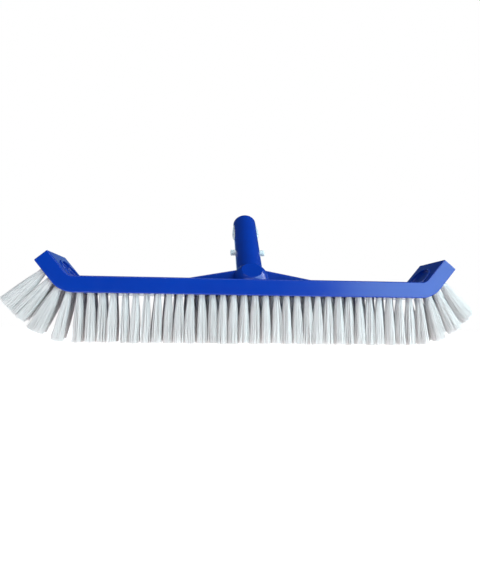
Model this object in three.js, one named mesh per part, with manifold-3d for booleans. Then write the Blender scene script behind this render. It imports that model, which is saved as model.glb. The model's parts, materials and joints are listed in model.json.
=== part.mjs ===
// Pool wall brush: a bent plastic back with three rows of nylon tufts, a leaning round
// spigot for a telescopic pole, and a sprung clip inside the spigot that locks the pole.
// Millimetres. X runs along the brush, +Y to the side that the spigot leans to, +Z up.
// The origin is the centre of the plane that the bristle tips rest on.
import * as THREE from 'three';
import { mergeVertices } from 'three/addons/utils/BufferGeometryUtils.js';
import Module from 'manifold-3d';

// ---- driving dimensions ----
const BRISTLE_LENGTH = 53; // free length, from the underside of the back to the tips
const BACK_THICKNESS = 17.4;
const BACK_DEPTH = 46; // along Y
const BACK_CHAMFER = 1;
const BEND_X = 191; // where the straight top turns up into a wing
const WING_ANGLE = 50; // degrees above the straight middle
const WING_LENGTH = 34.3; // along its top face
const WING_TIP_THICKNESS = 16.8;
const BEND_OUTER_RADIUS = 28;
const BEND_INNER_RADIUS = 10;
const CORNER_RADIUS = 1.5;

const TROUGH_HALF_WIDTH = 12.4; // recess in the top of the back
const TROUGH_DEPTH = 2;
const TROUGH_START_X = 28; // clear of the hub
const TROUGH_END = 22.4; // distance up a wing at which the recess ends
const BEAD_WIDTH = 2.6; // raised rim round the recess
const BEAD_HEIGHT = 1.1;

const HUB_RADIUS = 20.7;
const HUB_Y = 2;
const PAD_HEIGHT = 17.3; // of the flat round pad, from the hub's centre
const PAD_ELEVATION = 41; // degrees that the pad faces up
const FIN_THICKNESS = 6;
const FIN_HEIGHT = 12.3; // above the top face, where it meets the hub
const FIN_INNER_X = 17;
const FIN_OUTER_X = 84;
const ROOT_DEPTH = 1; // that fins and beads sink into what they stand on

const SPIGOT_ELEVATION = 48; // degrees above horizontal
const SPIGOT_RADIUS = 15.1;
const SPIGOT_BORE_RADIUS = 12.6;
const SPIGOT_END = 116; // distances along the spigot count from the hub's centre
const SOCKET_FLOOR = 5;
const HUB_RIM = 13.7;

const TUFT_PITCH = 11.5;
const ROW_SPACING = 15;
const ROW_STAGGER = 2.875; // each row's shift along X from the next one
const TUFT_ROOT_RADIUS = 2.7;
const TUFT_TIP_RADIUS = 6.5;
const TUFT_SIDES = 8;
const HOLE_RADIUS = 3.1;
const HOLE_DEPTH = 9;
const LEAN_START = 182.5; // distance from the middle at which tufts begin to fan out
const LEAN_RATE = 1.3; // degrees per mm along the underside
const LEAN_MAX = 49;

const CLIP_WIDTH = 8;
const ARM_THICKNESS = 2.2;
const ARM_OUTER_X = 11;
const HINGE_AT = 111;
const ARM_END = 46;
const BUTTON_AT = 52.5;
const BUTTON_RADIUS = 3.7;
const BUTTON_CHAMFER = 1;
const BUTTON_REACH = 21; // from the spigot's axis to the button's end
const LUG_WIDTH = 7.6;
const WINDOW_WIDTH = 9.2;
const WINDOW_FROM = 81.6;
const WINDOW_TO = 110.4;
const BRIDGE_THICKNESS = 2.8;

const GAP = 0.3; // between pieces that touch
const ARC_STEPS = 4;
const ROUND_SIDES = 32;
const rad = THREE.MathUtils.degToRad;

// ---- materials ----
const bluePlastic = new THREE.MeshStandardMaterial({ color: 0x0a3fae, roughness: 0.32, metalness: 0 });
const palePlastic = new THREE.MeshStandardMaterial({ color: 0xc4cacd, roughness: 0.4, metalness: 0 });
const nylon = new THREE.MeshStandardMaterial({ color: 0xe6eaec, roughness: 0.5, metalness: 0 });

// ---- solids ----
const wasm = await Module();
wasm.setup();

function solid(geometry) {
  const bare = geometry.index ? geometry.toNonIndexed() : geometry.clone();
  bare.deleteAttribute('normal');
  bare.deleteAttribute('uv');
  const merged = mergeVertices(bare, 1e-4);
  return new wasm.Manifold(new wasm.Mesh({
    numProp: 3,
    vertProperties: new Float32Array(merged.attributes.position.array),
    triVerts: new Uint32Array(merged.index.array),
  }));
}

function piece(name, body, material) {
  const mesh = body.getMesh();
  const geometry = new THREE.BufferGeometry();
  geometry.setAttribute('position', new THREE.BufferAttribute(mesh.vertProperties, 3));
  geometry.setIndex(new THREE.BufferAttribute(mesh.triVerts, 1));
  geometry.computeVertexNormals();
  const part = new THREE.Mesh(geometry, material);
  part.name = name;
  return part;
}

// A closed outline from corners [x, y, radius], each rounded by an arc of that radius.
function roundedShape(corners) {
  const shape = new THREE.Shape();
  const lineOrStart = (i, point) => {
    if (i === 0) shape.moveTo(point.x, point.y);
    else shape.lineTo(point.x, point.y);
  };
  corners.forEach(([x, y, radius], i) => {
    const corner = new THREE.Vector2(x, y);
    if (radius === 0) {
      lineOrStart(i, corner);
      return;
    }
    const before = corners[(i + corners.length - 1) % corners.length];
    const after = corners[(i + 1) % corners.length];
    const back = new THREE.Vector2(before[0], before[1]).sub(corner).normalize();
    const on = new THREE.Vector2(after[0], after[1]).sub(corner).normalize();
    const half = Math.acos(back.dot(on)) / 2;
    const start = corner.clone().addScaledVector(back, radius / Math.tan(half));
    const end = corner.clone().addScaledVector(on, radius / Math.tan(half));
    const middle = back.clone().add(on).normalize();
    const centre = corner.clone().addScaledVector(middle, radius / Math.sin(half));
    lineOrStart(i, start);
    const from = start.sub(centre).angle();
    const to = end.sub(centre).angle();
    shape.absarc(centre.x, centre.y, radius, from, to, back.cross(on) > 0);
  });
  shape.closePath();
  return shape;
}

// Extrudes an outline drawn in X and Z by width, centred on y.
function slab(shape, width, y = 0, chamfer = 0) {
  const geometry = new THREE.ExtrudeGeometry(shape, {
    depth: width - 2 * chamfer,
    curveSegments: ARC_STEPS,
    bevelEnabled: chamfer > 0,
    bevelSize: chamfer,
    bevelThickness: chamfer,
    bevelOffset: -chamfer,
    bevelSegments: 1,
  });
  geometry.rotateX(Math.PI / 2);
  geometry.translate(0, y + width / 2 - chamfer, 0);
  return solid(geometry);
}

// ---- where things are on the back ----
const wingUp = new THREE.Vector2(Math.cos(rad(WING_ANGLE)), Math.sin(rad(WING_ANGLE)));
const wingOut = new THREE.Vector2(wingUp.y, -wingUp.x);
const bendTop = new THREE.Vector2(BEND_X, BACK_THICKNESS);
const wingTop = bendTop.clone().addScaledVector(wingUp, WING_LENGTH);
const wingTip = wingTop.clone().addScaledVector(wingOut, WING_TIP_THICKNESS);
const bendBottom = new THREE.Vector2(BEND_X + BACK_THICKNESS * Math.tan(rad(WING_ANGLE / 2)), 0);
const wingUnder = wingTip.clone().sub(bendBottom).normalize();
const wingUnderAngle = wingUnder.angle();
const arcStartX = bendBottom.x - BEND_OUTER_RADIUS * Math.tan(wingUnderAngle / 2);
const arcLength = BEND_OUTER_RADIUS * wingUnderAngle;

// The point on the underside at a distance from the middle, measured along it.
function underside(distance) {
  const past = distance - arcStartX;
  if (past <= 0) return new THREE.Vector2(distance, 0);
  const turn = Math.min(past / BEND_OUTER_RADIUS, wingUnderAngle);
  const onArc = new THREE.Vector2(
    arcStartX + BEND_OUTER_RADIUS * Math.sin(turn),
    BEND_OUTER_RADIUS * (1 - Math.cos(turn)),
  );
  return onArc.addScaledVector(wingUnder, Math.max(past - arcLength, 0));
}

function lean(distance) {
  return Math.min(Math.max(distance - LEAN_START, 0) * LEAN_RATE, LEAN_MAX);
}

// Places a solid that points down from its origin at a tuft's root.
function atTuft(body, tuft) {
  const side = Math.sign(tuft.distance) || 1;
  const root = underside(Math.abs(tuft.distance));
  const angle = lean(Math.abs(tuft.distance)) * side;
  return body.rotate([0, -angle, 0]).translate([root.x * side, tuft.y, root.y]);
}

// A lathe that points down: profile holds [radius, depth below the origin].
function downwards(profile, sides) {
  const points = profile.map(([radius, depth]) => new THREE.Vector2(radius, depth));
  const geometry = new THREE.LatheGeometry(points, sides, Math.PI / sides);
  geometry.rotateX(-Math.PI / 2);
  return geometry;
}

function tuftSolid(tipShift) {
  const geometry = downwards([
    [0, GAP - HOLE_DEPTH],
    [TUFT_ROOT_RADIUS, GAP - HOLE_DEPTH],
    [TUFT_ROOT_RADIUS, 0],
    [TUFT_TIP_RADIUS, BRISTLE_LENGTH],
    [0, BRISTLE_LENGTH],
  ], TUFT_SIDES);
  const at = geometry.attributes.position;
  for (let i = 0; i < at.count; i += 1) {
    if (at.getZ(i) < -BRISTLE_LENGTH / 2) at.setX(i, at.getX(i) + tipShift);
  }
  return solid(geometry);
}

function holeSolid() {
  const outside = HOLE_RADIUS; // past the surface, which slopes under a leaning tuft
  return solid(downwards([
    [0, -HOLE_DEPTH],
    [HOLE_RADIUS, -HOLE_DEPTH],
    [HOLE_RADIUS, outside],
    [0, outside],
  ], TUFT_SIDES));
}

// ---- tufts: each row is shifted a quarter pitch from the next one ----
function rowOfTufts(y, shift, first, last) {
  const tufts = [];
  for (let k = first; k <= last; k += 1) tufts.push({ distance: k * TUFT_PITCH + shift, y });
  return tufts;
}

// Splits a row into bunches: tufts that fan out stand alone, straight ones touch at the tips.
function bunches(tufts, sizes) {
  const list = [];
  const straight = tufts.filter((tuft) => lean(Math.abs(tuft.distance)) === 0);
  const fanned = tufts.filter((tuft) => lean(Math.abs(tuft.distance)) > 0);
  fanned.forEach((tuft) => list.push([tuft]));
  let next = 0;
  sizes.forEach((size) => {
    list.push(straight.slice(next, next + size));
    next += size;
  });
  return list.sort((a, b) => a[0].distance - b[0].distance);
}

const tipHalfWidth = TUFT_TIP_RADIUS * Math.cos(Math.PI / TUFT_SIDES);
const endShift = tipHalfWidth - TUFT_PITCH / 2 + GAP / 2;

function bunchSolid(bunch) {
  let body = null;
  bunch.forEach((tuft, i) => {
    let shift = 0;
    if (bunch.length > 1 && i === 0) shift = endShift;
    if (bunch.length > 1 && i === bunch.length - 1) shift = -endShift;
    const one = atTuft(tuftSolid(shift), tuft);
    body = body ? body.add(one) : one;
  });
  return body;
}

const FOURS = new Array(8).fill(4);
const ROWS = [
  { name: 'front', tufts: rowOfTufts(-ROW_SPACING, ROW_STAGGER, -20, 19), sizes: FOURS },
  { name: 'middle', tufts: rowOfTufts(0, 0, -19, 19), sizes: [4, 5, 4, 5, 4, 5, 4] },
  { name: 'rear', tufts: rowOfTufts(ROW_SPACING, -ROW_STAGGER, -19, 20), sizes: FOURS },
];

// ---- the spigot's own frame: Z along its axis from the hub's centre, X as the brush's ----
function alongSpigot(geometry) {
  return geometry.rotateX(rad(SPIGOT_ELEVATION) - Math.PI / 2).translate(0, HUB_Y, BACK_THICKNESS);
}

function ring(outer, inner, from, to) {
  const points = [[inner, from], [outer, from], [outer, to], [inner, to], [inner, from]];
  const profile = points.map(([radius, along]) => new THREE.Vector2(radius, along));
  return new THREE.LatheGeometry(profile, ROUND_SIDES).rotateX(Math.PI / 2);
}

function rod(radius, from, to, sides = ROUND_SIDES) {
  const geometry = new THREE.CylinderGeometry(radius, radius, to - from, sides);
  return geometry.rotateX(Math.PI / 2).translate(0, 0, (from + to) / 2);
}

function block(x0, x1, y0, y1, z0, z1) {
  const geometry = new THREE.BoxGeometry(x1 - x0, y1 - y0, z1 - z0);
  return geometry.translate((x0 + x1) / 2, (y0 + y1) / 2, (z0 + z1) / 2);
}

// ---- brush back ----
function mirrored(corners) {
  return [...corners, ...corners.map(([x, z, radius]) => [-x, z, radius]).reverse()];
}

function backOutline() {
  return roundedShape(mirrored([
    [bendBottom.x, bendBottom.y, BEND_OUTER_RADIUS],
    [wingTip.x, wingTip.y, CORNER_RADIUS],
    [wingTop.x, wingTop.y, CORNER_RADIUS],
    [bendTop.x, bendTop.y, BEND_INNER_RADIUS],
  ]));
}

// A band that follows the top from near the hub up a wing to a half-round end: half its
// width, how far up the wing it ends, and the heights above the top face that it spans.
function alongTop(half, end, low, high) {
  const atBend = (height) => [
    BEND_X - height * Math.tan(rad(WING_ANGLE / 2)), BACK_THICKNESS + height, BEND_INNER_RADIUS - height,
  ];
  const atEnd = (height) => [
    bendTop.x + end * wingUp.x - height * wingUp.y, bendTop.y + end * wingUp.y + height * wingUp.x, 0,
  ];
  const band = roundedShape([
    [TROUGH_START_X, BACK_THICKNESS + low, 0],
    atBend(low),
    atEnd(low),
    atEnd(high),
    atBend(high),
    [TROUGH_START_X, BACK_THICKNESS + high, 0],
  ]);
  const endRadius = half - GAP; // leaves a short flat, so the two corners stay apart
  const plan = roundedShape([
    [-BEND_X, -half, 0],
    [end, -half, endRadius],
    [end, half, endRadius],
    [-BEND_X, half, 0],
  ]);
  const wall = new THREE.ExtrudeGeometry(plan, {
    depth: 2 * BEND_X, curveSegments: 2 * ARC_STEPS, bevelEnabled: false,
  });
  wall.translate(0, 0, -BEND_X);
  wall.rotateY(-rad(WING_ANGLE)).translate(BEND_X, 0, BACK_THICKNESS);
  return slab(band, 2 * half).intersect(solid(wall));
}

// Adds a raised bead and cuts the recess inside it, on both halves of the top.
function withTroughs(body) {
  const bead = alongTop(TROUGH_HALF_WIDTH + BEAD_WIDTH, TROUGH_END + BEAD_WIDTH, -ROOT_DEPTH, BEAD_HEIGHT);
  const recess = alongTop(TROUGH_HALF_WIDTH, TROUGH_END, -TROUGH_DEPTH, 2 * BEAD_HEIGHT);
  for (const one of [bead, bead.mirror([1, 0, 0])]) body = body.add(one);
  for (const one of [recess, recess.mirror([1, 0, 0])]) body = body.subtract(one);
  return body;
}

// A long low triangle that runs from inside the hub out along the recess.
function fin(side) {
  const insideHub = FIN_INNER_X - HUB_RADIUS / 2;
  const foot = BACK_THICKNESS - TROUGH_DEPTH - ROOT_DEPTH;
  const shape = new THREE.Shape([
    new THREE.Vector2(insideHub, foot),
    new THREE.Vector2(FIN_OUTER_X, foot),
    new THREE.Vector2(FIN_OUTER_X, BACK_THICKNESS),
    new THREE.Vector2(FIN_INNER_X, BACK_THICKNESS + FIN_HEIGHT),
    new THREE.Vector2(insideHub, BACK_THICKNESS + FIN_HEIGHT),
  ]);
  const body = slab(shape, FIN_THICKNESS, HUB_Y);
  return side > 0 ? body : body.mirror([1, 0, 0]);
}

// The upper half of a ball, with a flat round pad on its front.
function hub() {
  const ball = new THREE.SphereGeometry(HUB_RADIUS, ROUND_SIDES, ROUND_SIDES / 2);
  ball.rotateX(rad(SPIGOT_ELEVATION));
  const above = block(-HUB_RADIUS, HUB_RADIUS, -HUB_RADIUS, HUB_RADIUS, -TROUGH_DEPTH, HUB_RADIUS);
  const padFace = block(
    -HUB_RADIUS, HUB_RADIUS, -HUB_RADIUS, HUB_RADIUS, PAD_HEIGHT, 2 * HUB_RADIUS,
  );
  padFace.rotateX(Math.PI / 2 - rad(PAD_ELEVATION));
  const body = solid(ball).intersect(solid(above)).subtract(solid(padFace));
  return body.translate([0, HUB_Y, BACK_THICKNESS]);
}

function brushBack() {
  let body = withTroughs(slab(backOutline(), BACK_DEPTH, 0, BACK_CHAMFER));
  for (const side of [-1, 1]) body = body.add(fin(side));
  body = body.add(hub());
  const socket = rod(SPIGOT_RADIUS + GAP, SOCKET_FLOOR, SPIGOT_END);
  const overRim = rod(HUB_RADIUS, HUB_RIM, SPIGOT_END);
  body = body.subtract(solid(alongSpigot(socket))).subtract(solid(alongSpigot(overRim)));
  const hole = holeSolid();
  for (const row of ROWS) {
    for (const tuft of row.tufts) body = body.subtract(atTuft(hole, tuft));
  }
  return body;
}

// ---- spigot ----
function spigot() {
  const tube = ring(SPIGOT_RADIUS, SPIGOT_BORE_RADIUS, SOCKET_FLOOR + GAP, SPIGOT_END);
  let body = solid(alongSpigot(tube));
  const half = WINDOW_WIDTH / 2;
  const windows = block(-HUB_RADIUS, HUB_RADIUS, -half, half, WINDOW_FROM, WINDOW_TO);
  body = body.subtract(solid(alongSpigot(windows)));
  // the button holes are longer than the buttons, which swing towards the hub as they go in
  const slotRadius = BUTTON_RADIUS + 2 * GAP;
  for (const shift of [0, -4 * GAP]) {
    const hole = new THREE.CylinderGeometry(slotRadius, slotRadius, 2 * HUB_RADIUS, ROUND_SIDES / 2);
    hole.rotateZ(Math.PI / 2).translate(0, 0, BUTTON_AT + shift);
    body = body.subtract(solid(alongSpigot(hole)));
  }
  return body;
}

// ---- clip: two arms that hinge on a bridge just inside the mouth ----
const hingeX = ARM_OUTER_X - ARM_THICKNESS / 2;

// Side views as [x, distance along the spigot]: a straight strip, and a lug that rises
// through the window and falls away at both ends.
function armOutline() {
  const inner = ARM_OUTER_X - ARM_THICKNESS;
  const corners = [[inner, HINGE_AT], [inner, ARM_END], [ARM_OUTER_X, ARM_END], [ARM_OUTER_X, HINGE_AT]];
  return new THREE.Shape(corners.map(([x, along]) => new THREE.Vector2(x, along)));
}

function lugOutline() {
  const corners = [
    [hingeX, 83], [14.5, 83.3], [16.2, 86], [17, 91], [16.6, 99], [15.5, 107], [14.7, 109.3],
    [hingeX, 109.4],
  ];
  return new THREE.Shape(corners.map(([x, along]) => new THREE.Vector2(x, along)));
}

function plate(shape, width) {
  const geometry = new THREE.ExtrudeGeometry(shape, { depth: width, bevelEnabled: false });
  return geometry.rotateX(Math.PI / 2).translate(0, width / 2, 0);
}

function clipArm(side) {
  const knuckle = new THREE.CylinderGeometry(ARM_THICKNESS / 2, ARM_THICKNESS / 2, CLIP_WIDTH, 16);
  knuckle.translate(hingeX, 0, HINGE_AT);
  const buttonLength = BUTTON_REACH - hingeX;
  const button = new THREE.LatheGeometry([
    new THREE.Vector2(0, 0),
    new THREE.Vector2(BUTTON_RADIUS, 0),
    new THREE.Vector2(BUTTON_RADIUS, buttonLength - BUTTON_CHAMFER),
    new THREE.Vector2(BUTTON_RADIUS - BUTTON_CHAMFER, buttonLength),
    new THREE.Vector2(0, buttonLength),
  ], 16);
  button.rotateZ(-Math.PI / 2).translate(hingeX, 0, BUTTON_AT);
  const shapes = [plate(armOutline(), CLIP_WIDTH), plate(lugOutline(), LUG_WIDTH), knuckle, button];
  let body = null;
  for (const shape of shapes) {
    const one = solid(shape);
    body = body ? body.add(one) : one;
  }
  if (side < 0) body = body.mirror([1, 0, 0]);
  return placeOnSpigot(body);
}

function placeOnSpigot(body) {
  return body.rotate([SPIGOT_ELEVATION - 90, 0, 0]).translate([0, HUB_Y, BACK_THICKNESS]);
}

function clipBridge() {
  const from = HINGE_AT + ARM_THICKNESS / 2 + GAP;
  const half = CLIP_WIDTH / 2;
  const bar = block(-ARM_OUTER_X, ARM_OUTER_X, -half, half, from, from + BRIDGE_THICKNESS);
  return solid(alongSpigot(bar));
}

// ---- assembly ----
const brush = new THREE.Group();
brush.name = 'pool_wall_brush';

function place(name, body, material) {
  const part = piece(name, body, material);
  part.position.z = BRISTLE_LENGTH;
  brush.add(part);
}

place('brush_back', brushBack(), bluePlastic);
place('pole_spigot', spigot(), bluePlastic);
place('clip_bridge', clipBridge(), palePlastic);
place('clip_arm_left', clipArm(-1), palePlastic);
place('clip_arm_right', clipArm(1), palePlastic);
for (const row of ROWS) {
  bunches(row.tufts, row.sizes).forEach((bunch, i) => {
    const number = String(i + 1).padStart(2, '0');
    place(`bristles_${row.name}_${number}`, bunchSolid(bunch), nylon);
  });
}

export default brush;
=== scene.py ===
"""The looks of the pool wall brush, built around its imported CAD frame, in metres."""
import json
import math

import bmesh
import bpy
import numpy as np
from mathutils import Matrix, Vector


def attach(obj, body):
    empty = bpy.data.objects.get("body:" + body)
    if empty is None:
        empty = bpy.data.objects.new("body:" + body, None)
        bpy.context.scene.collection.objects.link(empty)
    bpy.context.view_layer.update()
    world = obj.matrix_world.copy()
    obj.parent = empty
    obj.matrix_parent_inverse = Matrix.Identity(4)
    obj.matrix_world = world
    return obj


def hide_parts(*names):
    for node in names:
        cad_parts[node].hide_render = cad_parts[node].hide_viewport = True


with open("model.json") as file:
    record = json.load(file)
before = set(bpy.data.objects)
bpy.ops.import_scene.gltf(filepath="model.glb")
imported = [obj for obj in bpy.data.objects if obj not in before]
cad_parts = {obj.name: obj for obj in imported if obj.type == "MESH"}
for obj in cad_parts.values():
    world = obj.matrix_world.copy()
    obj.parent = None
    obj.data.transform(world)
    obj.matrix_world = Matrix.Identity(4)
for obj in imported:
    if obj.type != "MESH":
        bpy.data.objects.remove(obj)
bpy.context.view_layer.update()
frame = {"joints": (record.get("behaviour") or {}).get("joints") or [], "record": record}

MM = 0.001

# ---- sizes, in millimetres; the same driving dimensions as the CAD part ----
BRISTLE_LENGTH = 53
BACK_THICKNESS = 17.4
BACK_DEPTH = 46
BEND_X = 191
WING_ANGLE = 50
WING_LENGTH = 34.3
WING_TIP_THICKNESS = 16.8
BEND_OUTER_RADIUS = 28
BEND_INNER_RADIUS = 10
TIP_ROUNDING = 1.5
EDGE_ROUNDING = 1.2

TROUGH_HALF_WIDTH = 12.4
TROUGH_DEPTH = 2
TROUGH_START_X = 28
TROUGH_START_CORNER = 6
TROUGH_END = 22.4  # distance up a wing at which the half-round end of the recess lies
BEAD_WIDTH = 2.6
BEAD_HEIGHT = 1.1

HUB_RADIUS = 20.7
HUB_Y = 2
PAD_HEIGHT = 17.3
PAD_EDGE = 0.5
HUB_RIM = 13.9
HUB_FLARE = 1.6
FIN_THICKNESS = 6
FIN_HEIGHT = 12.3
FIN_INNER_X = 17
FIN_OUTER_X = 84
FIN_CREST_ROUNDING = 1.1
FIN_FOOT_FLARE = 1.4

SPIGOT_RADIUS = 15.1
SPIGOT_BORE_RADIUS = 12.6
SPIGOT_END = 116
SOCKET_FLOOR = 5
SOCKET_CLEARANCE = 0.05
MOUTH_ROUNDING = 0.9
WINDOW = (81.6, 110.4)
WINDOW_WIDTH = 9.2
WINDOW_CORNER = 2.2

TUFT_PITCH = 11.5
ROW_SPACING = 15
ROW_STAGGER = 2.875
HOLE_RADIUS = 3.0
HOLE_DEPTH = 9
HOLE_CHAMFER = 0.5
LEAN_START = 182.5
LEAN_RATE = 1.3
LEAN_MAX = 49

FILAMENTS = 125  # in a straight tuft
FILAMENT_RADIUS = 0.29
FILAMENT_SIDES = 5
FILAMENT_STEPS = 5
FILAMENT_START = -4.0  # how far inside its hole a filament starts
FILAMENT_CURL = 0.5
FILAMENT_SEED = 7
TUFT_ROOT_RADIUS = 2.75
TUFT_ROOT_PACKING = 0.97
TUFT_TIP_RADIUS = 6.2
TUFT_TIP_SCATTER = 0.45
TUFT_SPLAY_CURVE = 0.75  # under 1, a tuft widens most near its root
TUFT_DEPTH = 7.3  # the most that a filament strays across the brush
TUFT_LEAN_SPREAD = 0.7  # degrees
TRIM_LIMITS = (0.35, 4)  # how far short of the full length a filament may be cut
NARROW_STRETCH = (-198, -86)  # the stretch of tufts that splay less
NARROW_SPLAY = 0.86

# the outermost tufts of the left end, -1, and of the right end, 1
FANNED_SPLAY = {-1: 0.72, 1: 0.7}  # share that they spread wider along the row
WORN_BACK = {-1: 4, 1: 12}  # degrees that they have bent back down
WORN_SHORT = {-1: 0.3, 1: 4.2}  # how much shorter they are
REAR_WORN_BACK = 2  # degrees that those of the two rear rows have bent further

CLIP_WIDTH = 8
LUG_WIDTH = 7.6
LUG_ROUNDING = 0.7
ARM_THICKNESS = 2.2
ARM_OUTER_X = 11
ARM_END = 46
BUTTON_AT = 52.5
BUTTON_RADIUS = 3.7
BUTTON_REACH = 21
BUTTON_ROUNDING = 1.1
BRIDGE_THICKNESS = 2.8
GAP = 0.3
# a lug's outline: distance from the spigot's axis, and distance along it
LUG_OUTLINE = [
    (10.2, 83), (14.4, 83.2), (15.7, 84.9), (16.6, 87.6), (17, 91), (16.95, 95),
    (16.6, 99), (16.1, 103), (15.5, 107), (14.9, 109), (14.1, 109.4), (10.2, 109.4),
]

# ---- places read from the frame ----
mounts = {mount["name"]: mount for mount in frame["record"]["mounts"]}
spigot_axis = Vector(mounts["spigot_mouth"]["axis"]).normalized()
pad_axis = Vector(mounts["hub_pad"]["axis"]).normalized()
hub_centre = Vector(mounts["hub_pad"]["pos_m"]) - pad_axis * PAD_HEIGHT * MM
left_hinge = next(j for j in frame["joints"] if j["name"] == "left_button_press")
hinge_at = (Vector(left_hinge["pos_m"]) - hub_centre).dot(spigot_axis) / MM
hinge_x = -left_hinge["pos_m"][0] / MM

ACROSS = Vector((1, 0, 0))
SPIGOT_FRAME = Matrix.Translation(hub_centre) @ Matrix(
    [ACROSS, spigot_axis.cross(ACROSS), spigot_axis]
).transposed().to_4x4()


# ---- mesh helpers; all take millimetres and make metres ----
def mesh_object(name, points, faces, matrix=None):
    mesh = bpy.data.meshes.new(name)
    mesh.from_pydata([tuple(Vector(p) * MM) for p in points], [], [list(f) for f in faces])
    if matrix is not None:
        mesh.transform(matrix)
    mesh.validate()
    mesh.update()
    body = bpy.data.objects.new(name, mesh)
    bpy.context.scene.collection.objects.link(body)
    face_outwards(body)
    return body


def face_outwards(body):
    bm = bmesh.new()
    bm.from_mesh(body.data)
    bmesh.ops.recalc_face_normals(bm, faces=bm.faces)
    bm.to_mesh(body.data)
    bm.free()


def lofted(rings):
    """Points and faces of a closed body through rings of equal size, with flat ends."""
    size = len(rings[0])
    points = [p for ring in rings for p in ring]
    faces = [range(size - 1, -1, -1)]
    for i in range(len(rings) - 1):
        for j in range(size):
            k = (j + 1) % size
            faces.append((i * size + j, i * size + k, (i + 1) * size + k, (i + 1) * size + j))
    faces.append(range((len(rings) - 1) * size, len(rings) * size))
    return points, faces


def lathe(profile, sides):
    """A closed body turned about Z from [radius, height] points that start and end on the axis."""
    rings = []
    for radius, height in profile[1:-1]:
        turns = [math.tau * i / sides for i in range(sides)]
        rings.append([(radius * math.cos(t), radius * math.sin(t), height) for t in turns])
    return lofted(rings)


def pipe(outer, inner, sides):
    """A closed tube wall: outer and inner are profiles that share their two ends."""
    rings = []
    loop = outer + inner[::-1]
    for i in range(sides):
        t = math.tau * i / sides
        rings.append([(r * math.cos(t), r * math.sin(t), z) for r, z in loop])
    size = len(loop)
    points = [p for ring in rings for p in ring]
    faces = []
    for i in range(sides):
        for j in range(size):
            k, n = (j + 1) % size, (i + 1) % sides
            faces.append((i * size + j, i * size + k, n * size + k, n * size + j))
    return points, faces


def arc(centre, radius, start, end, steps):
    """Points on an arc, with start and end in degrees."""
    turns = [math.radians(start + (end - start) * i / steps) for i in range(steps + 1)]
    return [(centre[0] + radius * math.cos(t), centre[1] + radius * math.sin(t)) for t in turns]


def rounded_plate(outline, width, rounding, steps=3):
    """A plate in X and Z with its outline's edges rounded over, as [x, z] points, width along Y."""
    flat = np.array(outline, float)
    before, after = np.roll(flat, 1, 0) - flat, np.roll(flat, -1, 0) - flat
    before /= np.linalg.norm(before, axis=1)[:, None]
    after /= np.linalg.norm(after, axis=1)[:, None]
    inward = np.stack([-(after - before)[:, 1], (after - before)[:, 0]], 1)
    inward /= np.linalg.norm(inward, axis=1)[:, None]
    bend = np.abs((inward * after[:, ::-1] * [1, -1]).sum(1))
    inward /= np.maximum(bend, 0.5)[:, None]
    area = np.sum(flat[:, 0] * np.roll(flat[:, 1], -1) - np.roll(flat[:, 0], -1) * flat[:, 1])
    inward *= np.sign(area)
    rings = []
    for i in range(2 * steps + 2):
        side = -1 if i <= steps else 1
        turn = math.radians(90 * (i if side < 0 else 2 * steps + 1 - i) / steps)
        inset = rounding * (1 - math.sin(turn))
        y = width / 2 - rounding + rounding * math.cos(turn)
        rings.append([(x, side * y, z) for x, z in flat + inward * inset])
    return lofted(rings)


def rounded_box(x, z, width, rounding):
    """A box between x and z limits, width along Y, with all its edges rounded."""
    corners = [(x[1], z[1], 0), (x[0], z[1], 90), (x[0], z[0], 180), (x[1], z[0], 270)]
    outline = []
    for cx, cz, start in corners:
        dx = -rounding if cx == x[1] else rounding
        dz = -rounding if cz == z[1] else rounding
        outline += arc((cx + dx, cz + dz), rounding, start, start + 90, 4)
    return rounded_plate(outline, width, rounding * 0.8)


def apply_modifiers(body):
    bpy.context.view_layer.update()
    evaluated = body.evaluated_get(bpy.context.evaluated_depsgraph_get())
    result = bpy.data.meshes.new_from_object(evaluated)
    body.modifiers.clear()
    body.data = result


def combine(body, other, operation):
    """Joins or cuts body by other with an exact boolean, and removes other."""
    modifier = body.modifiers.new(operation, "BOOLEAN")
    modifier.operation = operation
    modifier.solver = "EXACT"
    modifier.object = other
    apply_modifiers(body)
    bpy.data.objects.remove(other)


def smooth_shading(body, angle):
    """Smooth shading that keeps edges sharper than angle."""
    body.data.polygons.foreach_set("use_smooth", [True] * len(body.data.polygons))
    body.data.set_sharp_from_angle(angle=math.radians(angle))


def soften(body, angle=32):
    """Smooth shading that leaves large flat faces flat and only turns over narrow ones."""
    smooth_shading(body, angle)
    modifier = body.modifiers.new("flat_faces", "WEIGHTED_NORMAL")
    modifier.keep_sharp = True
    modifier.weight = 80
    apply_modifiers(body)


def show(body, name, cad_body, nodes, material):
    body.name = name
    body.data.name = name
    body.data.materials.clear()
    body.data.materials.append(material)
    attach(body, cad_body)
    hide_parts(*nodes)


# ---- materials ----
NOISE_RANGE = (0.3, 0.7)
NYLON_TRANSLUCENCY = 0.58


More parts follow.
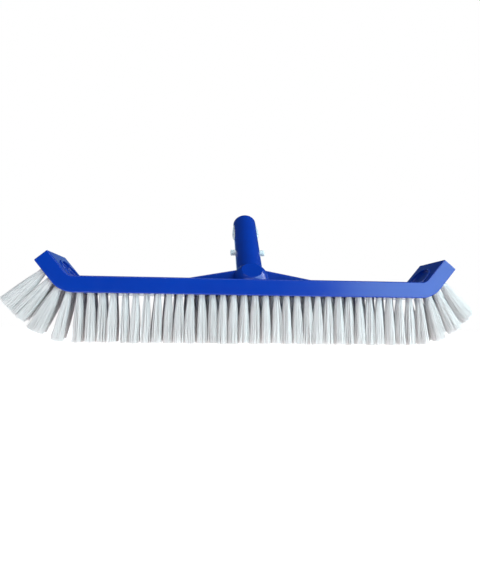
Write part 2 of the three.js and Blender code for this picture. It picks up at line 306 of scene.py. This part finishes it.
class Nodes:
    """A material's node tree, with short calls for the nodes used here."""

    def __init__(self, name):
        self.material = bpy.data.materials.new(name)
        self.material.use_nodes = True
        self.tree = self.material.node_tree
        self.shader = self.tree.nodes["Principled BSDF"]

    def add(self, kind, **settings):
        node = self.tree.nodes.new(kind)
        for key, value in settings.items():
            setattr(node, key, value)
        return node

    def link(self, output, target):
        self.tree.links.new(output, target)

    def noise(self, scale, detail=3.0, roughness=0.5, stretch=(1, 1, 1)):
        place = self.add("ShaderNodeMapping")
        place.inputs["Scale"].default_value = stretch
        self.link(self.add("ShaderNodeTexCoord").outputs["Object"], place.inputs["Vector"])
        node = self.add("ShaderNodeTexNoise")
        node.inputs["Scale"].default_value = scale
        node.inputs["Detail"].default_value = detail
        node.inputs["Roughness"].default_value = roughness
        self.link(place.outputs["Vector"], node.inputs["Vector"])
        return node.outputs["Fac"]

    def spread(self, value, low, high):
        """Maps a noise value's usual range to low and high."""
        node = self.add("ShaderNodeMapRange")
        node.inputs["From Min"].default_value = NOISE_RANGE[0]
        node.inputs["From Max"].default_value = NOISE_RANGE[1]
        node.inputs["To Min"].default_value = low
        node.inputs["To Max"].default_value = high
        self.link(value, node.inputs["Value"])
        return node.outputs["Result"]

    def mix(self, factor, first, second):
        node = self.add("ShaderNodeMix", data_type="RGBA")
        node.inputs["A"].default_value = (*first, 1)
        node.inputs["B"].default_value = (*second, 1)
        self.link(factor, node.inputs["Factor"])
        return node

    def bump(self, height, distance, strength, after=None):
        node = self.add("ShaderNodeBump")
        node.inputs["Distance"].default_value = distance
        node.inputs["Strength"].default_value = strength
        self.link(height, node.inputs["Height"])
        if after is not None:
            self.link(after.outputs["Normal"], node.inputs["Normal"])
        return node


def moulded_blue():
    """Semi-gloss moulded polypropylene: faint flow shading, uneven gloss and a fine mould grain."""
    n = Nodes("moulded_blue_plastic")
    flow = n.spread(n.noise(26, detail=4, stretch=(0.35, 1, 1)), 0, 1)
    colour = n.mix(flow, (0.0, 0.024, 0.25), (0.0, 0.029, 0.28))
    n.link(colour.outputs["Result"], n.shader.inputs["Base Color"])
    n.link(n.spread(n.noise(90, detail=5), 0.20, 0.26), n.shader.inputs["Roughness"])
    wave = n.bump(n.noise(34, detail=2), 0.0003, 0.12)
    grain = n.bump(n.noise(1300, detail=2), 0.00002, 0.2, after=wave)
    n.link(grain.outputs["Normal"], n.shader.inputs["Normal"])
    n.shader.inputs["Specular IOR Level"].default_value = 0.42
    return n.material


def clip_plastic():
    """Pale satin acetal, a little darker in patches where it has been handled."""
    n = Nodes("pale_clip_plastic")
    tone = n.spread(n.noise(120, detail=4), 0, 1)
    colour = n.mix(tone, (0.56, 0.61, 0.64), (0.68, 0.72, 0.74))
    n.link(colour.outputs["Result"], n.shader.inputs["Base Color"])
    n.link(n.spread(n.noise(300, detail=4), 0.34, 0.46), n.shader.inputs["Roughness"])
    n.link(n.bump(n.noise(1800), 0.00003, 0.3).outputs["Normal"], n.shader.inputs["Normal"])
    return n.material


def nylon():
    """White nylon filament: each strand has its own tone, and tufts differ a little."""
    n = Nodes("white_nylon")
    strand = n.add("ShaderNodeNewGeometry").outputs["Random Per Island"]
    tone = n.add("ShaderNodeMath", operation="MULTIPLY_ADD")
    n.link(strand, tone.inputs[0])
    tone.inputs[1].default_value = 0.6
    n.link(n.spread(n.noise(60, detail=2), 0, 0.4), tone.inputs[2])
    colour = n.mix(tone.outputs["Value"], (0.87, 0.845, 0.84), (0.955, 0.925, 0.92))
    n.link(colour.outputs["Result"], n.shader.inputs["Base Color"])
    n.link(n.spread(n.noise(400), 0.4, 0.55), n.shader.inputs["Roughness"])
    n.shader.inputs["IOR"].default_value = 1.45
    through = n.add("ShaderNodeBsdfTranslucent")
    n.link(colour.outputs["Result"], through.inputs["Color"])
    blend = n.add("ShaderNodeMixShader")
    blend.inputs["Fac"].default_value = NYLON_TRANSLUCENCY
    n.link(n.shader.outputs["BSDF"], blend.inputs[1])
    n.link(through.outputs["BSDF"], blend.inputs[2])
    n.link(blend.outputs["Shader"], n.tree.nodes["Material Output"].inputs["Surface"])
    return n.material


# ---- the back's outline, in X and Z from its underside ----
def turned(angle):
    return Vector((math.cos(math.radians(angle)), math.sin(math.radians(angle))))


wing_up = turned(WING_ANGLE)
wing_out = turned(WING_ANGLE - 90)
bend_top = Vector((BEND_X, BACK_THICKNESS))
wing_top = bend_top + wing_up * WING_LENGTH
wing_tip = wing_top + wing_out * WING_TIP_THICKNESS
bend_bottom = Vector((BEND_X + BACK_THICKNESS * math.tan(math.radians(WING_ANGLE / 2)), 0))
wing_under = (wing_tip - bend_bottom).normalized()
under_angle = math.atan2(wing_under.y, wing_under.x)
under_arc_x = bend_bottom.x - BEND_OUTER_RADIUS * math.tan(under_angle / 2)
top_tangent = BEND_INNER_RADIUS * math.tan(math.radians(WING_ANGLE / 2))


def underside(distance):
    """The point on the underside at a distance from the middle, measured along it."""
    past = distance - under_arc_x
    if past <= 0:
        return Vector((distance, 0))
    turn = min(past / BEND_OUTER_RADIUS, under_angle)
    on_arc = Vector((
        under_arc_x + BEND_OUTER_RADIUS * math.sin(turn),
        BEND_OUTER_RADIUS * (1 - math.cos(turn)),
    ))
    return on_arc + wing_under * max(past - BEND_OUTER_RADIUS * under_angle, 0)


def topside(share):
    """The point on the bend's top arc, from 0 where it starts to 1 where it ends."""
    turn = math.radians(WING_ANGLE) * share
    return Vector((
        BEND_X - top_tangent + BEND_INNER_RADIUS * math.sin(turn),
        BACK_THICKNESS + BEND_INNER_RADIUS * (1 - math.cos(turn)),
    ))


# the rim of the recess, from outside its bead to its floor: distance out from the recess's
# edge, and height above the top face
RIM = [
    (BEAD_WIDTH + 0.4, 0), (BEAD_WIDTH + 0.12, 0.08), (BEAD_WIDTH, 0.35), (BEAD_WIDTH - 0.12, 0.8),
    (BEAD_WIDTH - 0.4, BEAD_HEIGHT - 0.08), (BEAD_WIDTH - 0.8, BEAD_HEIGHT), (0.8, BEAD_HEIGHT),
    (0.4, BEAD_HEIGHT - 0.08), (0.12, 0.75), (0.05, 0.2), (0, 0.8 - TROUGH_DEPTH),
    (-0.1, 0.4 - TROUGH_DEPTH), (-0.35, 0.12 - TROUGH_DEPTH), (-0.8, -TROUGH_DEPTH),
]


def rim_height(out):
    """Height above the top face at a distance out from the recess's edge."""
    distances, heights = zip(*RIM[::-1])
    return float(np.interp(out, distances, heights))


def rim_section(past, corner):
    """Half widths and heights of the rim at a distance past the centre of an end's corners."""
    points = []
    for i, (out, height) in enumerate(RIM):
        reach = corner + out
        if past <= 0:
            points.append((TROUGH_HALF_WIDTH + out, height))
        elif reach > past:
            across = math.sqrt(reach**2 - past**2)
            points.append((TROUGH_HALF_WIDTH - corner + across + 0.01 * (len(RIM) - i), height))
        else:
            sliver = 0.01 * (len(RIM) - i)
            points.append((TROUGH_HALF_WIDTH - corner + sliver, rim_height(past - corner)))
    return points


def rim_at_start(x):
    return rim_section(TROUGH_START_X + TROUGH_START_CORNER - x, TROUGH_START_CORNER)


def rim_on_wing(along):
    return rim_section(along - TROUGH_END + TROUGH_HALF_WIDTH, TROUGH_HALF_WIDTH)


def back_stations():
    """Stations from the middle to a wing's tip: bottom point, top point, recess rim, inset."""
    stations = []
    near_hub = [TROUGH_START_X - 3.2 + step * 0.25 for step in range(40)]
    level = [0, 8, 16, 22] + near_hub + list(range(44, int(under_arc_x) - 2, 8))
    for x in level:
        stations.append((Vector((x, 0)), Vector((x, BACK_THICKNESS)), rim_at_start(x), 0))
    bend_steps = 22
    for i in range(bend_steps + 1):
        share = i / bend_steps
        bottom = underside(under_arc_x + share * BEND_OUTER_RADIUS * under_angle)
        stations.append((bottom, topside(share), rim_on_wing(0), 0))
    bottom_start, top_start = stations[-1][:2]
    under_length = (wing_tip - bottom_start).length
    top_length = (wing_top - top_start).length
    ups = [6, 8, 9.9] + [10.6 + step * 0.7 for step in range(9)]
    ups += [16.8 + step * 0.22 for step in range(40)]
    ups += [WING_LENGTH - 6, WING_LENGTH - 4]
    ups += [WING_LENGTH - TIP_ROUNDING * math.cos(math.radians(turn)) for turn in range(0, 91, 15)]
    for up in ups:
        share = (up - top_tangent) / top_length
        bottom = bottom_start + wing_under * under_length * share
        top = top_start + wing_up * top_length * share
        gap = max(up - (WING_LENGTH - TIP_ROUNDING), 0)
        inset = TIP_ROUNDING - math.sqrt(max(TIP_ROUNDING**2 - gap**2, 0))
        stations.append((bottom, top, rim_on_wing(up), inset))
    return stations


def back_section(station, side):
    """One ring of the back's moulding, through a bottom and a top point."""
    bottom, top, rim, inset = station
    up = (top - bottom).normalized()
    height = (top - bottom).length - 2 * inset
    width = BACK_DEPTH / 2 - inset
    corner = max(EDGE_ROUNDING - inset * 0.5, 0.3)
    front = arc((-width + corner, corner), corner, 270, 180, 4)
    front += arc((-width + corner, height - corner), corner, 180, 90, 4)
    front += [(-half, height + rise) for half, rise in rim]
    ring = front + [(-y, z) for y, z in front[::-1]]
    base = bottom + up * inset
    return [(side * (base.x + up.x * z), y, base.y + up.y * z) for y, z in ring]


def back_bar():
    stations = back_stations()
    rings = [back_section(s, -1) for s in stations[:0:-1]] + [back_section(s, 1) for s in stations]
    return mesh_object("back", *lofted(rings), Matrix.Translation((0, 0, BRISTLE_LENGTH * MM)))


def fin(side):
    """A low tapering web with a rounded crest and a flared foot, sunk in the recess floor."""
    rings = []
    floor = BACK_THICKNESS - TROUGH_DEPTH
    half = FIN_THICKNESS / 2
    ends = [FIN_OUTER_X + step for step in (-5, -1, 0.2, 1.2, 2)]
    for x in [FIN_INNER_X - 9, FIN_INNER_X, 30, 45, 60, 72] + ends:
        reach = min((FIN_OUTER_X - x) / (FIN_OUTER_X - FIN_INNER_X), 1)
        crest = BACK_THICKNESS + FIN_HEIGHT * max(reach, 0) - floor
        if x > FIN_OUTER_X - 1:
            crest *= math.sqrt(max(1 - ((x - FIN_OUTER_X + 1) / 3.01) ** 2, 0.001))
        rounding = min(FIN_CREST_ROUNDING, crest * 0.4)
        foot = min(FIN_FOOT_FLARE, crest * 0.4)
        half_ring = [(-half - foot, -1)]
        for turn in np.linspace(0, math.pi / 2, 5):
            half_ring.append((-half - foot * (1 - math.sin(turn)), foot * (1 - math.cos(turn))))
        half_ring += arc((-half + rounding, crest - rounding), rounding, 180, 90, 4)
        ring = half_ring + [(-y, z) for y, z in half_ring[::-1]]
        rings.append([(side * x, HUB_Y + y, floor + z) for y, z in ring])
    return mesh_object("fin", *lofted(rings), Matrix.Translation((0, 0, BRISTLE_LENGTH * MM)))


def hub():
    """The domed hub with a flared foot, its flat pad and the rim that the spigot stands in."""
    sunk = -3
    flare = arc((HUB_RADIUS + HUB_FLARE, HUB_FLARE), HUB_FLARE, 270, 190, 5)
    dome = arc((0, 0), HUB_RADIUS, 6, 89, 40)
    profile = [(0, sunk), (HUB_RADIUS + HUB_FLARE, sunk)] + flare + dome + [(0, HUB_RADIUS)]
    body = mesh_object("hub", *lathe(profile, 128), Matrix.Translation(hub_centre))
    cut_flat(body, hub_centre + pad_axis * PAD_HEIGHT * MM, pad_axis, PAD_EDGE)
    cut_flat(body, hub_centre + spigot_axis * HUB_RIM * MM, spigot_axis, 0.2)
    return body


def cut_flat(body, point, normal, rounding):
    """Cuts off what lies past a plane, closes the cut and rounds its edge."""
    bm = bmesh.new()
    bm.from_mesh(body.data)
    geometry = bm.verts[:] + bm.edges[:] + bm.faces[:]
    cut = bmesh.ops.bisect_plane(bm, geom=geometry, plane_co=point, plane_no=normal, clear_outer=True)
    rim = [e for e in cut["geom_cut"] if isinstance(e, bmesh.types.BMEdge)]
    bmesh.ops.remove_doubles(bm, verts=list({v for e in rim for v in e.verts}), dist=0.02 * MM)
    rim = [e for e in bm.edges if e.is_boundary]
    bmesh.ops.holes_fill(bm, edges=rim, sides=0)
    bmesh.ops.bevel(
        bm, geom=rim, offset=rounding * MM, segments=3, affect="EDGES", profile=0.5, clamp_overlap=True,
    )
    bmesh.ops.recalc_face_normals(bm, faces=bm.faces)
    bm.to_mesh(body.data)
    bm.free()


# ---- tufts ----
def row_of_tufts(shift, first, last):
    return [k * TUFT_PITCH + shift for k in range(first, last + 1)]


def lean(distance):
    return min(max(abs(distance) - LEAN_START, 0) * LEAN_RATE, LEAN_MAX)


def tuft_place(distance, y):
    """Root point and downward direction of a tuft, in the part's frame, in millimetres."""
    side = -1 if distance < 0 else 1
    root = underside(abs(distance))
    angle = math.radians(lean(distance))
    origin = Vector((side * root.x, y, root.y + BRISTLE_LENGTH))
    return origin, Vector((side * math.sin(angle), 0, -math.cos(angle)))


FANNED = [1] * 4
OUTER_BUNCHES = FANNED + [4] * 8 + FANNED
MIDDLE_BUNCHES = FANNED + [4, 5, 4, 5, 4, 5, 4] + FANNED
ROWS = [
    ("front", -ROW_SPACING, row_of_tufts(ROW_STAGGER, -20, 19), OUTER_BUNCHES),
    ("middle", 0, row_of_tufts(0, -19, 19), MIDDLE_BUNCHES),
    ("rear", ROW_SPACING, row_of_tufts(-ROW_STAGGER, -19, 20), OUTER_BUNCHES),
]


def tuft_holes():
    """One cutter for all the blind holes, each with a chamfered mouth."""
    clear = HOLE_RADIUS
    profile = [
        (0, clear), (HOLE_RADIUS + HOLE_CHAMFER, clear), (HOLE_RADIUS + HOLE_CHAMFER, 0),
        (HOLE_RADIUS, -HOLE_CHAMFER), (HOLE_RADIUS, -HOLE_DEPTH), (0, -HOLE_DEPTH),
    ]
    shape, hole_faces = lathe(profile, 20)
    points, faces = [], []
    for _, y, distances, _ in ROWS:
        for distance in distances:
            origin, down = tuft_place(distance, y)
            turn = down.to_track_quat("Z", "Y").to_matrix()
            start = len(points)
            points += [origin + turn @ Vector(p) for p in shape]
            faces += [[start + i for i in face] for face in hole_faces]
    return mesh_object("holes", points, faces)


def strands(distance, y, rng):
    """Points and faces of one tuft's filaments, which splay from the hole to the tips."""
    origin, down = tuft_place(distance, y)
    down = np.array(down)
    depth = np.array([0, 1.0, 0])
    side = np.cross(depth, down)
    end = -1 if distance < 0 else 1
    fanned = lean(distance) / LEAN_MAX
    sway = np.radians(rng.normal(0, TUFT_LEAN_SPREAD, 2)).clip(-0.06, 0.06)
    worn = WORN_BACK[end] + (REAR_WORN_BACK if y > -ROW_SPACING else 0)
    sway[0] += end * math.radians(worn) * fanned
    wider = 1 + FANNED_SPLAY[end] * fanned
    count = round(FILAMENTS * wider ** 2)
    turn = rng.uniform(0, math.tau, count)
    out = np.sqrt(rng.uniform(0, 1, count))
    root = TUFT_ROOT_RADIUS * out[:, None] * np.stack([np.cos(turn), np.sin(turn)], 1)
    splay = NARROW_SPLAY if NARROW_STRETCH[0] < distance < NARROW_STRETCH[1] else 1
    reach = TUFT_TIP_RADIUS * splay * out ** 0.8
    tip = reach[:, None] * np.stack([wider * np.cos(turn), np.sin(turn)], 1)
    tip += rng.normal(0, TUFT_TIP_SCATTER, (count, 2))
    tip += np.tan(sway) * BRISTLE_LENGTH
    tip[:, 1] = tip[:, 1].clip(-TUFT_DEPTH, TUFT_DEPTH)
    curl = rng.normal(0, FILAMENT_CURL, (count, 2))
    tuft_trim = TRIM_LIMITS[0] + abs(rng.normal(0, 0.6))
    trim = tuft_trim + 0.8 * out**2 + np.abs(rng.normal(0, 0.4, count))
    length = BRISTLE_LENGTH - trim.clip(*TRIM_LIMITS) - WORN_SHORT[end] * fanned
    share = np.linspace(0, 1, FILAMENT_STEPS + 1)
    along = FILAMENT_START + share[:, None] * (length - FILAMENT_START)
    outside = np.clip(along / BRISTLE_LENGTH, 0, 1)
    grow = outside ** TUFT_SPLAY_CURVE
    bow = np.sin(outside * math.pi)
    offset = root[None] * TUFT_ROOT_PACKING + (tip - root)[None] * grow[..., None]
    offset += curl[None] * bow[..., None]
    centre = np.array(origin)[None, None] + along[..., None] * down
    centre = centre + offset[..., :1] * side + offset[..., 1:] * depth
    angles = np.arange(FILAMENT_SIDES) * math.tau / FILAMENT_SIDES
    ring = FILAMENT_RADIUS * (np.cos(angles)[:, None] * side + np.sin(angles)[:, None] * depth)
    points = centre[:, :, None] + ring[None, None]
    points = points.transpose(1, 0, 2, 3).reshape(-1, 3)
    return points, count


def strand_faces():
    """Faces of one filament: its sides, and a flat cut end."""
    faces = []
    for i in range(FILAMENT_STEPS):
        for j in range(FILAMENT_SIDES):
            k = (j + 1) % FILAMENT_SIDES
            low, high = i * FILAMENT_SIDES, (i + 1) * FILAMENT_SIDES
            faces.append((low + j, high + j, high + k, low + k))
    faces.append(tuple(range(FILAMENT_SIDES)))
    last = FILAMENT_STEPS * FILAMENT_SIDES
    faces.append(tuple(range(last + FILAMENT_SIDES - 1, last - 1, -1)))
    return faces


def make_bunch(name, distances, y, rng):
    points, faces = [], []
    one = strand_faces()
    size = (FILAMENT_STEPS + 1) * FILAMENT_SIDES
    start = 0
    for distance in distances:
        tuft, count = strands(distance, y, rng)
        points.append(tuft)
        for i in range(count):
            faces += [[start + i * size + v for v in face] for face in one]
        start += len(tuft)
    mesh = bpy.data.meshes.new(name)
    mesh.from_pydata((np.concatenate(points) * MM).tolist(), [], faces)
    mesh.update()
    body = bpy.data.objects.new(name, mesh)
    bpy.context.scene.collection.objects.link(body)
    return body


def make_bristles(material):
    rng = np.random.default_rng(FILAMENT_SEED)
    for row, y, distances, sizes in ROWS:
        next_tuft = 0
        for i, size in enumerate(sizes):
            number = f"{i + 1:02d}"
            bunch = distances[next_tuft:next_tuft + size]
            next_tuft += size
            body = make_bunch("bunch", bunch, y, rng)
            smooth_shading(body, 60)
            show(body, f"tufts_{row}_{number}", "brush", [f"bristles_{row}_{number}"],
                 material)


# ---- back, spigot and clip ----
def make_back(material):
    body = back_bar()
    for side in (-1, 1):
        combine(body, fin(side), "UNION")
    combine(body, hub(), "UNION")
    radius, past_rim = SPIGOT_RADIUS + SOCKET_CLEARANCE, 30
    socket = [(0, SOCKET_FLOOR), (radius, SOCKET_FLOOR), (radius, past_rim), (0, past_rim)]
    combine(body, mesh_object("socket", *lathe(socket, 96), SPIGOT_FRAME), "DIFFERENCE")
    combine(body, tuft_holes(), "DIFFERENCE")
    soften(body)
    show(body, "back_moulding", "brush", ["brush_back"], material)


def make_spigot(material):
    low, high = SOCKET_FLOOR + GAP, SPIGOT_END
    r = MOUTH_ROUNDING
    outer = [(SPIGOT_RADIUS, low), (SPIGOT_RADIUS, WINDOW[0]), (SPIGOT_RADIUS, WINDOW[1])]
    outer += arc((SPIGOT_RADIUS - r, high - r), r, 0, 90, 5)
    inner = [(SPIGOT_BORE_RADIUS, low), (SPIGOT_BORE_RADIUS, WINDOW[0])]
    inner += arc((SPIGOT_BORE_RADIUS + r, high - r), r, 180, 90, 5)
    body = mesh_object("spigot", *pipe(outer, inner, 128), SPIGOT_FRAME)
    half = BUTTON_RADIUS + 2 * GAP
    slot = (BUTTON_AT - half - 4 * GAP, BUTTON_AT + half)
    near, far = 6, SPIGOT_RADIUS + 8
    for side in (-1, 1):
        limits = (side * near, side * far)
        combine(body, window_cutter(limits, WINDOW, WINDOW_WIDTH, WINDOW_CORNER), "DIFFERENCE")
        combine(body, window_cutter(limits, slot, 2 * half, half * 0.98), "DIFFERENCE")
    soften(body)
    show(body, "spigot_tube", "brush", ["pole_spigot"], material)


def window_cutter(x, z, width, corner):
    """A prism along X with a rounded section in Y and Z."""
    section = []
    for y, along, start in ((1, 1, 0), (-1, 1, 90), (-1, -1, 180), (1, -1, 270)):
        centre_y = y * (width / 2 - corner)
        centre_z = (z[1] - corner) if along > 0 else (z[0] + corner)
        section += arc((centre_y, centre_z), corner, start, start + 90, 8)
    rings = [[(limit, y, along) for y, along in section] for limit in x]
    return mesh_object("cutter", *lofted(rings), SPIGOT_FRAME)


def make_arm(side, name, cad_body, node, material):
    inner, outer = side * (ARM_OUTER_X - ARM_THICKNESS), side * ARM_OUTER_X
    x = (min(inner, outer), max(inner, outer))
    knuckle = ARM_THICKNESS / 2
    strip = rounded_box(x, (ARM_END, hinge_at + knuckle), CLIP_WIDTH, 0.5)
    body = mesh_object("strip", *strip, SPIGOT_FRAME)
    outline = [(side * across, along) for across, along in LUG_OUTLINE]
    lug = mesh_object("lug", *rounded_plate(outline, LUG_WIDTH, LUG_ROUNDING), SPIGOT_FRAME)
    combine(body, lug, "UNION")
    reach = BUTTON_REACH - hinge_x
    collar = BUTTON_RADIUS + 0.6
    profile = [(0, 0), (collar, 0), (collar, 1.4), (BUTTON_RADIUS, 2)]
    r = BUTTON_ROUNDING
    profile += arc((BUTTON_RADIUS - r, reach - r), r, 0, 84, 6) + [(0, reach)]
    turn = Matrix.Rotation(math.radians(90 * side), 4, "Y")
    place = SPIGOT_FRAME @ Matrix.Translation((side * hinge_x * MM, 0, BUTTON_AT * MM)) @ turn
    combine(body, mesh_object("button", *lathe(profile, 48), place), "UNION")
    soften(body, 40)
    show(body, name, cad_body, [node], material)


def make_clip(material):
    make_arm(-1, "clip_left_arm", "left_clip_arm", "clip_arm_left", material)
    make_arm(1, "clip_right_arm", "right_clip_arm", "clip_arm_right", material)
    low = hinge_at + ARM_THICKNESS / 2 + GAP
    x = (-ARM_OUTER_X, ARM_OUTER_X)
    bridge = mesh_object(
        "bridge", *rounded_box(x, (low, low + BRIDGE_THICKNESS), CLIP_WIDTH, 0.7), SPIGOT_FRAME,
    )
    soften(bridge, 40)
    show(bridge, "clip_mouth_bridge", "brush", ["clip_bridge"], material)


# ---- studio ----
CAMERA_AT = (-47.45, -388.8, 27.6)
CAMERA_FOCAL = 22.05
CAMERA_YAW, CAMERA_PITCH, CAMERA_ROLL = 3.95, 3.15, 0.68
CAMERA_SHIFT = (0.0134, 0.0262)
FRONT_FILL = 0.13
REAR_FILL = 1.0
FILL_COLOUR = (0.4, 0.68, 1, 1)
FLOOR_HALF = 6.0
FLOOR_FRONT = -0.38  # just in front of the camera
FLOOR_FADE = (0.32, 0.9)  # distances from the middle between which the floor turns plain white


def make_camera():
    data = bpy.data.cameras.new("camera")
    data.sensor_width = 36
    data.lens = CAMERA_FOCAL
    data.shift_x, data.shift_y = CAMERA_SHIFT
    data.clip_start, data.clip_end = 0.01, 50
    camera = bpy.data.objects.new("camera", data)
    bpy.context.scene.collection.objects.link(camera)
    turn = Matrix.Rotation(math.radians(-CAMERA_YAW), 4, "Z")
    turn @= Matrix.Rotation(math.radians(90 + CAMERA_PITCH), 4, "X")
    turn @= Matrix.Rotation(math.radians(CAMERA_ROLL), 4, "Z")
    camera.matrix_world = Matrix.Translation(Vector(CAMERA_AT) * MM) @ turn
    bpy.context.scene.camera = camera


def make_light(name, azimuth, elevation, distance, size, power, colour=(1, 1, 1)):
    """A soft panel that faces the brush; azimuth 0 is in front of it, and 90 to its right."""
    data = bpy.data.lights.new(name, "AREA")
    data.shape = "RECTANGLE"
    data.size, data.size_y = size
    data.energy = power
    data.color = colour
    light = bpy.data.objects.new(name, data)
    bpy.context.scene.collection.objects.link(light)
    a, e = math.radians(azimuth), math.radians(elevation)
    way = Vector((math.sin(a) * math.cos(e), -math.cos(a) * math.cos(e), math.sin(e)))
    light.location = way * distance + Vector((0, 0, 0.06))
    light.rotation_euler = way.to_track_quat("Z", "Y").to_euler()


def make_world():
    """Plain white where it is seen; as light, bluish, bright behind the brush and dim elsewhere."""
    world = bpy.data.worlds.new("studio")
    bpy.context.scene.world = world
    world.use_nodes = True
    tree = world.node_tree
    tree.nodes.clear()
    links = tree.links
    direction = tree.nodes.new("ShaderNodeTexCoord")
    split = tree.nodes.new("ShaderNodeSeparateXYZ")
    links.new(direction.outputs["Generated"], split.inputs["Vector"])
    ramp = tree.nodes.new("ShaderNodeMapRange")
    ramp.interpolation_type = "SMOOTHSTEP"
    ramp.inputs["From Min"].default_value = 0.82
    ramp.inputs["From Max"].default_value = 1.0
    ramp.inputs["To Min"].default_value = FRONT_FILL
    ramp.inputs["To Max"].default_value = REAR_FILL
    links.new(split.outputs["Y"], ramp.inputs["Value"])
    fill = tree.nodes.new("ShaderNodeBackground")
    fill.inputs["Color"].default_value = FILL_COLOUR
    links.new(ramp.outputs["Result"], fill.inputs["Strength"])
    seen = tree.nodes.new("ShaderNodeBackground")
    seen.inputs["Color"].default_value = (1, 1, 1, 1)
    path = tree.nodes.new("ShaderNodeLightPath")
    mix = tree.nodes.new("ShaderNodeMixShader")
    out = tree.nodes.new("ShaderNodeOutputWorld")
    links.new(path.outputs["Is Camera Ray"], mix.inputs["Fac"])
    links.new(fill.outputs["Background"], mix.inputs[1])
    links.new(seen.outputs["Background"], mix.inputs[2])
    links.new(mix.outputs["Shader"], out.inputs["Surface"])


def make_studio():
    bpy.context.scene.view_settings.view_transform = "Standard"
    make_world()
    make_light("window_right", 46, 15, 1.5, (1.15, 1.1), 20.5, (0.66, 1.0, 1.04))
    make_light("front_soft", -12, 43, 1.5, (1.5, 0.35), 11)
    make_light("side_right", 86, 30, 1.5, (0.7, 0.8), 13, (0.85, 0.95, 1.0))


def make_floor():
    """A pale glowing floor that fades to plain white, so it has no horizon."""
    half = FLOOR_HALF
    mesh = bpy.data.meshes.new("floor")
    corners = [(-half, FLOOR_FRONT, 0), (half, FLOOR_FRONT, 0), (half, half, 0), (-half, half, 0)]
    mesh.from_pydata(corners, [], [(0, 1, 2, 3)])
    floor = bpy.data.objects.new("floor", mesh)
    bpy.context.scene.collection.objects.link(floor)
    n = Nodes("pale_floor")
    tone = n.mix(n.spread(n.noise(3), 0, 1), (0.90, 0.90, 0.90), (0.92, 0.92, 0.92))
    n.link(tone.outputs["Result"], n.shader.inputs["Base Color"])
    n.shader.inputs["Roughness"].default_value = 0.9
    place = n.add("ShaderNodeTexCoord").outputs["Object"]
    length = n.add("ShaderNodeVectorMath", operation="LENGTH")
    n.link(place, length.inputs[0])
    fade = n.add("ShaderNodeMapRange", interpolation_type="SMOOTHSTEP")
    fade.inputs["From Min"].default_value = FLOOR_FADE[0]
    fade.inputs["From Max"].default_value = FLOOR_FADE[1]
    n.link(length.outputs["Value"], fade.inputs["Value"])
    white = n.add("ShaderNodeEmission")
    white.inputs["Strength"].default_value = 1.0
    bright = n.add("ShaderNodeAddShader")
    n.link(n.shader.outputs["BSDF"], bright.inputs[0])
    n.link(white.outputs["Emission"], bright.inputs[1])
    mix = n.add("ShaderNodeMixShader")
    n.link(fade.outputs["Result"], mix.inputs["Fac"])
    n.link(bright.outputs["Shader"], mix.inputs[1])
    n.link(white.outputs["Emission"], mix.inputs[2])
    n.link(mix.outputs["Shader"], n.tree.nodes["Material Output"].inputs["Surface"])
    mesh.materials.append(n.material)


make_camera()
make_studio()
make_floor()
blue = moulded_blue()
make_back(blue)
make_spigot(blue)
make_clip(clip_plastic())
make_bristles(nylon())
